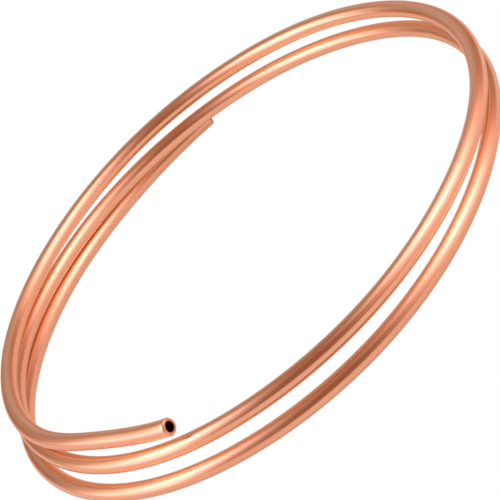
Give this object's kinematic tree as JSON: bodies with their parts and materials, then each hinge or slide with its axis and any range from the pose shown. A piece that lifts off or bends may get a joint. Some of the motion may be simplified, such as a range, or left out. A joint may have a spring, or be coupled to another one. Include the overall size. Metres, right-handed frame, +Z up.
{
  "type": "copper tube coil",
  "caption": "Soft copper tube wound into a loose, flat-lying coil of open turns, with both ends cut square and open.",
  "frame": {"origin": "under the middle of the coil, on the level it lies on", "axes": "+Z up, along the coil's winding axis; +Y is the longer way across the coil"},
  "size_m": [0.2822, 0.2882, 0.0309],
  "materials": {
    "copper": "bright-annealed copper, satin, with fine lengthwise draw lines"
  },
  "bodies": {
    "root": {"copper_tube": "copper"}
  },
  "joints": []
}
